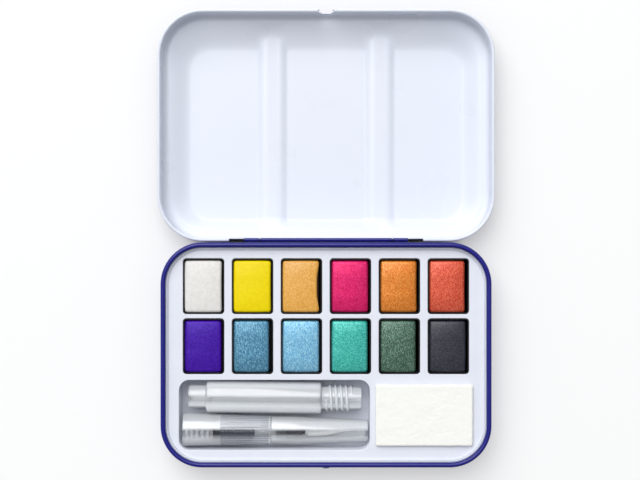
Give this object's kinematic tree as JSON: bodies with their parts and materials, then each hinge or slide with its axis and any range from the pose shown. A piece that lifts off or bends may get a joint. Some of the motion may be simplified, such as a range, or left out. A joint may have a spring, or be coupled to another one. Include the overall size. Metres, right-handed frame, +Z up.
{
  "type": "watercolour paint box",
  "caption": "Hinged watercolour paint box lying open: enamelled tin, lid with mixing wells, and an insert tray with half pans of paint, a foam sponge and a refillable water brush.",
  "frame": {"origin": "centre of the tin's flat underside, on the table", "axes": "+Z up; +Y from the tin towards the open lid, along the longest extent; +X along the hinge, to the right with the lid at the back"},
  "size_m": [0.1242, 0.1686, 0.0145],
  "materials": {
    "blue_enamel": "glossy deep blue enamel on rolled tinplate",
    "hinge_steel": "bare steel wire",
    "white_enamel": "glossy white enamel inside, deep blue outside",
    "tray_plastic": "smooth white moulded plastic",
    "pan_plastic": "black moulded plastic",
    "paint_white": "pressed cake of paint, smooth",
    "paint_yellow": "pressed cake of paint, smooth",
    "paint_ochre": "pressed cake of paint, fine metallic grain",
    "paint_magenta": "pressed cake of paint, fine metallic grain",
    "paint_orange": "pressed cake of paint, fine metallic grain",
    "paint_coral": "pressed cake of paint, fine metallic grain",
    "paint_violet": "pressed cake of paint, fine metallic grain",
    "paint_teal": "pressed cake of paint, fine metallic grain",
    "paint_sky": "pressed cake of paint, fine metallic grain",
    "paint_turquoise": "pressed cake of paint, fine metallic grain",
    "paint_green": "pressed cake of paint, fine metallic grain",
    "paint_graphite": "pressed cake of paint, fine metallic grain",
    "foam": "fine-pored white foam",
    "frosted_plastic": "soft frosted plastic",
    "clear_plastic": "clear moulded plastic",
    "seal_rubber": "black rubber",
    "dark_plastic": "blue-black plastic",
    "bristle_nylon": "white nylon filaments"
  },
  "bodies": {
    "base": {"base_tin": "blue_enamel", "hinge_wire": "hinge_steel"},
    "lid": {"lid": "white_enamel"},
    "tray": {"insert_tray": "tray_plastic"},
    "pan_01": {"half_pan_01": "pan_plastic", "paint_01_white": "paint_white"},
    "pan_02": {"half_pan_02": "pan_plastic", "paint_02_yellow": "paint_yellow"},
    "pan_03": {"half_pan_03": "pan_plastic", "paint_03_ochre": "paint_ochre"},
    "pan_04": {"half_pan_04": "pan_plastic", "paint_04_magenta": "paint_magenta"},
    "pan_05": {"half_pan_05": "pan_plastic", "paint_05_orange": "paint_orange"},
    "pan_06": {"half_pan_06": "pan_plastic", "paint_06_coral": "paint_coral"},
    "pan_07": {"half_pan_07": "pan_plastic", "paint_07_violet": "paint_violet"},
    "pan_08": {"half_pan_08": "pan_plastic", "paint_08_teal": "paint_teal"},
    "pan_09": {"half_pan_09": "pan_plastic", "paint_09_sky": "paint_sky"},
    "pan_10": {"half_pan_10": "pan_plastic", "paint_10_turquoise": "paint_turquoise"},
    "pan_11": {"half_pan_11": "pan_plastic", "paint_11_green": "paint_green"},
    "pan_12": {"half_pan_12": "pan_plastic", "paint_12_graphite": "paint_graphite"},
    "sponge": {"sponge": "foam"},
    "tank": {"water_tank": "frosted_plastic"},
    "brush": {"brush_body": "clear_plastic", "seal_ring": "seal_rubber", "drip_regulator": "dark_plastic", "regulator_nose": "dark_plastic", "ferrule": "clear_plastic", "feed_tip": "dark_plastic", "bristles": "bristle_nylon", "brush_cap": "clear_plastic"}
  },
  "joints": [
    {"name": "lid_hinge", "type": "hinge", "parent": "base", "child": "lid", "pos_m": [0, 0.04208, 0.011], "axis": [-1, 0, 0], "range_deg": [-180, 0]},
    {"name": "tray_lift", "type": "slide", "parent": "base", "child": "tray", "axis": [0, 0, 1], "range_m": [0, 0.018]},
    {"name": "pan_01_lift", "type": "slide", "parent": "tray", "child": "pan_01", "axis": [0, 0, 1], "range_m": [0, 0.012]},
    {"name": "pan_02_lift", "type": "slide", "parent": "tray", "child": "pan_02", "axis": [0, 0, 1], "range_m": [0, 0.012]},
    {"name": "pan_03_lift", "type": "slide", "parent": "tray", "child": "pan_03", "axis": [0, 0, 1], "range_m": [0, 0.012]},
    {"name": "pan_04_lift", "type": "slide", "parent": "tray", "child": "pan_04", "axis": [0, 0, 1], "range_m": [0, 0.012]},
    {"name": "pan_05_lift", "type": "slide", "parent": "tray", "child": "pan_05", "axis": [0, 0, 1], "range_m": [0, 0.012]},
    {"name": "pan_06_lift", "type": "slide", "parent": "tray", "child": "pan_06", "axis": [0, 0, 1], "range_m": [0, 0.012]},
    {"name": "pan_07_lift", "type": "slide", "parent": "tray", "child": "pan_07", "axis": [0, 0, 1], "range_m": [0, 0.012]},
    {"name": "pan_08_lift", "type": "slide", "parent": "tray", "child": "pan_08", "axis": [0, 0, 1], "range_m": [0, 0.012]},
    {"name": "pan_09_lift", "type": "slide", "parent": "tray", "child": "pan_09", "axis": [0, 0, 1], "range_m": [0, 0.012]},
    {"name": "pan_10_lift", "type": "slide", "parent": "tray", "child": "pan_10", "axis": [0, 0, 1], "range_m": [0, 0.012]},
    {"name": "pan_11_lift", "type": "slide", "parent": "tray", "child": "pan_11", "axis": [0, 0, 1], "range_m": [0, 0.012]},
    {"name": "pan_12_lift", "type": "slide", "parent": "tray", "child": "pan_12", "axis": [0, 0, 1], "range_m": [0, 0.012]},
    {"name": "sponge_lift", "type": "slide", "parent": "tray", "child": "sponge", "axis": [0, 0, 1], "range_m": [0, 0.012]},
    {"name": "tank_lift", "type": "slide", "parent": "tray", "child": "tank", "axis": [0, 0, 1], "range_m": [0, 0.014]},
    {"name": "brush_lift", "type": "slide", "parent": "tray", "child": "brush", "axis": [0, 0, 1], "range_m": [0, 0.014]}
  ]
}
